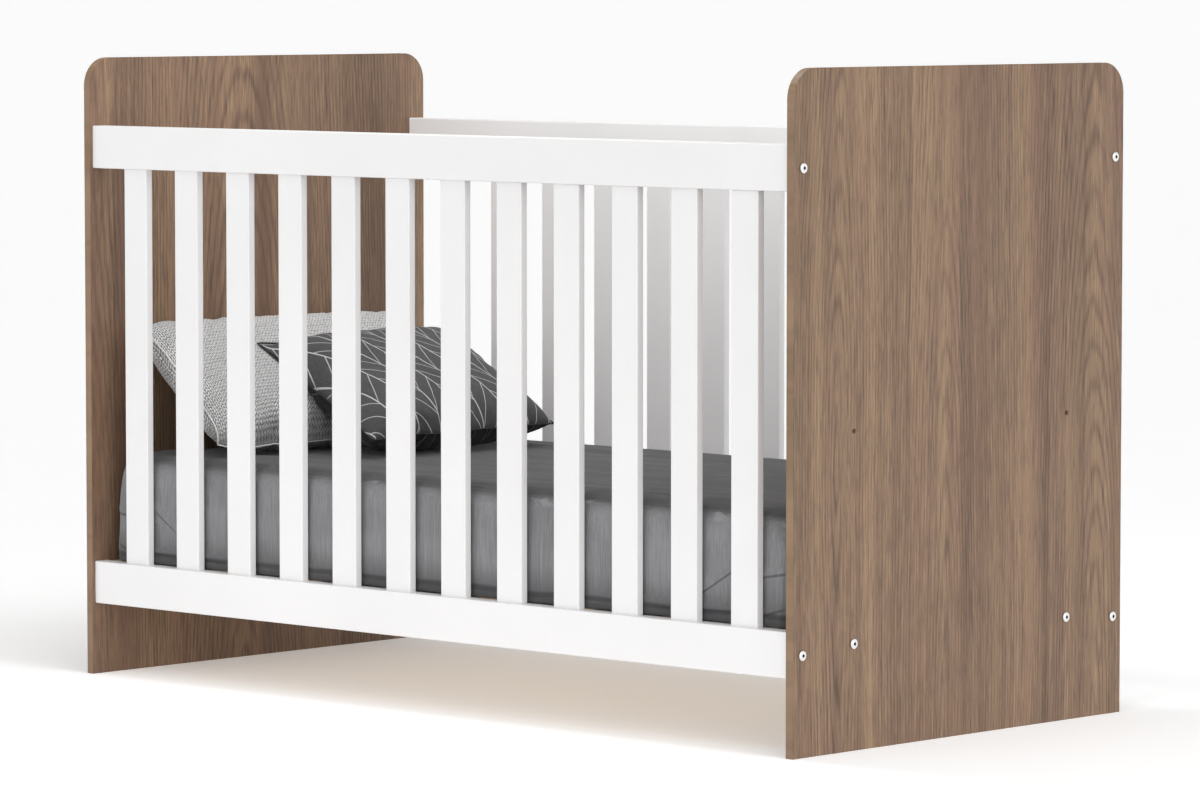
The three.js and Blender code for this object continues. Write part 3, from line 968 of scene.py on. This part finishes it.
def fine_part(points, grid):
    """What is left of a shape, its puckers and seams, once its broad form is smoothed away."""
    rounds = 16
    first, second = grid.edges().T
    neighbours = np.bincount(np.concatenate([first, second]), minlength=len(points))[:, None]
    broad = points
    for _ in range(rounds):
        total = np.zeros_like(broad)
        np.add.at(total, first, broad[second])
        np.add.at(total, second, broad[first])
        broad = (broad + total / neighbours) / 2
    return points - broad


def lift_clear(points, surface, up, gap):
    """Moves points along up until they stand the gap above a surface, where they would be under it."""
    reach = 0.5
    up = Vector(up)
    for i, point in enumerate(points):
        start = Vector(point) + up * reach
        hit = surface.ray_cast(start, -up, 2 * reach)[0]
        if hit is not None:
            depth = (hit - Vector(point)).dot(up) + gap
            if depth > 0:
                points[i] += np.array(up) * depth
    return points


def surface_of(piece):
    """A piece's surface, for finding where a line meets it."""
    return BVHTree.FromObject(piece, bpy.context.evaluated_depsgraph_get())


def cushion(name, node, fill, material, cord, resting_on, seed):
    """A filled cushion with a cord round its seam, which stands in for a CAD cushion.

    It rests on each piece in resting_on, which is given with the direction out of that piece.
    """
    place = CushionPlace(node)
    grid = PillowGrid(place.depth, place.width, CUSHION_CELL)
    form = plump_form(grid, place, fill)
    blown = blown_up(grid, place.depth * CUT, place.width * CUT, seed)
    detail = fine_part(scaled_like(blown, form), grid) - fine_part(form, grid)
    form += np.where(grid.side == 0, SEAM_DETAIL, FACE_DETAIL)[:, None] * detail
    points = place.to_world(form)
    # It is pressed flat against what it leans and lies on.
    panel_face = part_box("left_end_panel")[1].x
    points[:, 0] = np.maximum(points[:, 0], panel_face + CLEARANCE)
    for rest, up in resting_on:
        points = lift_clear(points, surface_of(rest), up, CLEARANCE)
    piece = new_piece(name, points, grid.faces(), material)
    paint_cloth_coordinates(piece, grid, place.depth * CUT, place.width * CUT)
    smooth = piece.modifiers.new("smooth", "SUBSURF")
    smooth.levels = smooth.render_levels = 1
    apply_modifiers(piece)
    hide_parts(node)
    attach(piece, node)
    seam_cord(f"{name}_seam", points[grid.rim()], cord, node)
    return piece


def paint_cloth_coordinates(piece, grid, depth, width):
    """Stores where each corner of a face lies on its flat panel, in metres, for the fabric.

    The bottom panel lies a metre from the top one, so that their patterns differ.
    """
    layer = piece.data.attributes.new("cloth", "FLOAT_VECTOR", "CORNER")
    corners = np.zeros(len(piece.data.loops), dtype=int)
    piece.data.loops.foreach_get("vertex_index", corners)
    half = len(corners) // 2
    side = np.where(np.arange(len(corners)) < half, 0.0, 1.0)
    flat = np.stack([grid.b[corners] * width / 2 + side, grid.a[corners] * depth / 2, side], axis=1)
    layer.data.foreach_set("vector", flat.ravel())


def seam_cord(name, loop, material, body):
    """A thin cord of cloth along a seam."""
    curve = bpy.data.curves.new(name, "CURVE")
    curve.dimensions = "3D"
    curve.bevel_depth = CORD_RADIUS
    curve.bevel_resolution = 2
    spline = curve.splines.new("POLY")
    spline.points.add(len(loop) - 1)
    spline.use_cyclic_u = True
    for point, place in zip(spline.points, loop):
        point.co = (*place, 1)
    curve.materials.append(material)
    cord = bpy.data.objects.new(name, curve)
    scene.collection.objects.link(cord)
    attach(cord, body)


stage()
camera()
finish_cad()
bedding = mattress()
straight_up = (0, 0, 1)
white = cushion("knitted_cushion", "white_cushion", WHITE_FILL, knit(),
                thread("pale_seam", 226, 248), [(bedding, straight_up)], seed=7)
white_up = CushionPlace("white_cushion").axes[2]
cushion("leaf_cushion", "dark_cushion", DARK_FILL, leaf_print(), thread("charcoal_seam", 40, 66),
        [(white, white_up), (bedding, straight_up)], seed=8)
